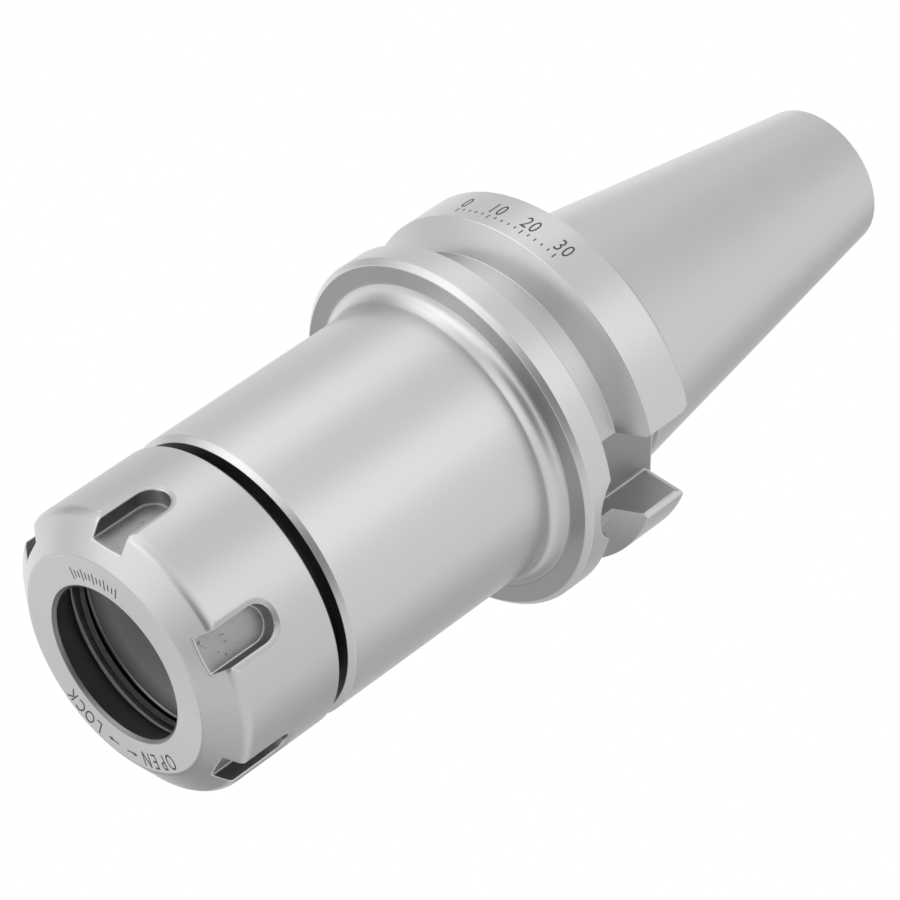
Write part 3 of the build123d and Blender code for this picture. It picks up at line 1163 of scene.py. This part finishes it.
# The studio's level all round, the least that a card leaves of it, and how wide a glow or card is in degrees
STUDIO_LEVEL = 0.77
DARKEST = 0.04
GLOW_REACH = 36
# A glow is its name, its azimuth and elevation in degrees, and what it adds. A card takes light away
GLOWS = (
    ("left_glow", -130, 5, 0.50),
    ("low_left_glow", -140, -30, 0.55),
    ("bounce_left", -120, -60, 0.35),
    ("front_right_glow", -45, 10, 0.25),
    ("far_glow", 145, 0, 0.30),
    ("camera_card", -35, -55, -0.60),
    ("left_edge_card", -160, -10, -0.40),
    ("high_left_card", -150, 25, -0.10),
    ("top_card", -85, 60, -0.15),
    ("far_card", 115, -15, -0.40),
    ("far_high_card", 75, 30, -0.30),
    ("far_low_card", 80, -30, -0.20),
)
SENSOR_WIDTH = 36
NEAREST, FARTHEST = 0.01, 20
FLOOR_GAP = 0.05 * MM
FLOOR_ROUGHNESS = 0.9


def direction(azimuth, elevation):
    """The unit vector that points at an azimuth and elevation, both in degrees."""
    a, e = math.radians(azimuth), math.radians(elevation)
    return Vector((math.cos(a) * math.cos(e), math.sin(a) * math.cos(e), math.sin(e)))


def hang_lamp(name, target, azimuth, elevation, distance, size, power):
    """A soft square lamp that faces the object."""
    away = direction(azimuth, elevation)
    data = bpy.data.lights.new(name, "AREA")
    data.shape = "SQUARE"
    data.size = size
    data.energy = power
    lamp = bpy.data.objects.new(name, data)
    bpy.context.scene.collection.objects.link(lamp)
    lamp.location = target + away * distance
    lamp.rotation_euler = (-away).to_track_quat("-Z", "Y").to_euler()
    lamp.visible_camera = False


def floor_surface(tree, shader, pale):
    """Pale and matt, and clear to all but a camera above it, so that light still comes from below."""
    feed(tree, shader, {"Base Color": (*pale, 1), "Roughness": FLOOR_ROUGHNESS})
    above = maths(tree, "SUBTRACT", 1, node(tree, "NewGeometry", "Backfacing", {}))
    shown = maths(tree, "MULTIPLY", above, node(tree, "LightPath", "Is Camera Ray", {}))
    clear = node(tree, "BsdfTransparent", 0, {})
    matt = tree.nodes["Principled BSDF"].outputs[0]
    mix = node(tree, "MixShader", 0, {0: shown, 1: clear, 2: matt})
    feed(tree, tree.nodes["Material Output"].inputs, {"Surface": mix})


def lay_floor(s):
    """A square floor just under the nut's face."""
    clear_selection()
    bpy.ops.mesh.primitive_plane_add(size=s.floor_size, location=(0, 0, nut_low.z - FLOOR_GAP))
    floor = bpy.context.object
    floor.name = "floor"
    bpy.ops.object.transform_apply(location=True, rotation=False, scale=False)
    floor.data.materials.append(finish("floor", floor_surface, s.floor_colour))


def light_world():
    """White behind the object, and a soft studio round it with a few wide glows and cards."""
    world = bpy.data.worlds.new("studio")
    bpy.context.scene.world = world
    world.use_nodes = True
    tree = world.node_tree
    tree.nodes.clear()
    around = node(tree, "TexCoord", "Generated", {})
    start = math.cos(math.radians(GLOW_REACH))
    level = STUDIO_LEVEL
    for name, azimuth, elevation, strength in GLOWS:
        ends = {0: around, 1: direction(azimuth, elevation)}
        toward = node(tree, "VectorMath", "Value", ends, operation="DOT_PRODUCT", label=name)
        glow = ranged(tree, toward, start, 1, 0, strength, interpolation_type="SMOOTHSTEP")
        level = maths(tree, "ADD", level, glow)
    studio = node(tree, "Background", 0, {"Color": maths(tree, "MAXIMUM", level, DARKEST)})
    white = node(tree, "Background", 0, {"Color": (1, 1, 1, 1)})
    seen = node(tree, "LightPath", "Is Camera Ray", {})
    out = tree.nodes.new("ShaderNodeOutputWorld")
    feed(tree, out.inputs, {"Surface": node(tree, "MixShader", 0, {0: seen, 1: studio, 2: white})})


class SetStage(bpy.types.Operator):
    """Set the floor, lamps, world and camera"""

    bl_idname = "holder.set_stage"
    bl_label = "Stage"

    def execute(self, context):
        s = context.scene.stage_sizes
        lay_floor(s)
        light_world()
        middle = Vector((0, 0, (body_high.z + nut_low.z) / 2))
        for name, *place_and_power in LAMPS:
            hang_lamp(name, middle, *place_and_power)
        away = direction(math.degrees(s.azimuth), math.degrees(s.elevation))
        camera_data = bpy.data.cameras.new("photo_camera")
        camera = bpy.data.objects.new("photo_camera", camera_data)
        context.scene.collection.objects.link(camera)
        camera_data.lens = s.lens
        camera_data.sensor_width = SENSOR_WIDTH
        camera_data.clip_start, camera_data.clip_end = NEAREST, FARTHEST
        camera.location = Vector(s.aim) + away * s.distance
        level = (-away).to_track_quat("-Z", "Y")
        camera.rotation_mode = "QUATERNION"
        camera.rotation_quaternion = Quaternion(away, s.roll) @ level
        context.scene.camera = camera
        context.scene.view_settings.view_transform = "Standard"
        return {"FINISHED"}


class HolderPanel(bpy.types.Panel):
    """The pieces of the holder, in the order in which they are made"""

    bl_idname = "VIEW3D_PT_holder"
    bl_label = "Collet chuck holder"
    bl_space_type = "VIEW_3D"
    bl_region_type = "UI"
    bl_category = "Holder"

    def draw(self, context):
        for step in STEPS:
            self.layout.operator(step.bl_idname)


STEPS = (TurnHolderBody, CutHolderThreads, TurnClampingNut, EtchMarks, SetStage)
GROUPS = (
    ("holder_sizes", HolderSizes),
    ("nut_sizes", NutSizes),
    ("steel_looks", SteelLooks),
    ("mark_sizes", MarkSizes),
    ("stage_sizes", StageSizes),
)


def register():
    for name, group in GROUPS:
        bpy.utils.register_class(group)
        setattr(bpy.types.Scene, name, bpy.props.PointerProperty(type=group))
    for step in STEPS:
        bpy.utils.register_class(step)
    bpy.utils.register_class(HolderPanel)


def unregister():
    bpy.utils.unregister_class(HolderPanel)
    for step in reversed(STEPS):
        bpy.utils.unregister_class(step)
    for name, group in reversed(GROUPS):
        delattr(bpy.types.Scene, name)
        bpy.utils.unregister_class(group)


def main():
    register()
    bpy.ops.holder.turn_body()
    bpy.ops.holder.cut_threads()
    bpy.ops.holder.turn_nut()
    bpy.ops.holder.etch_marks()
    bpy.ops.holder.set_stage()


if __name__ == "__main__":
    main()
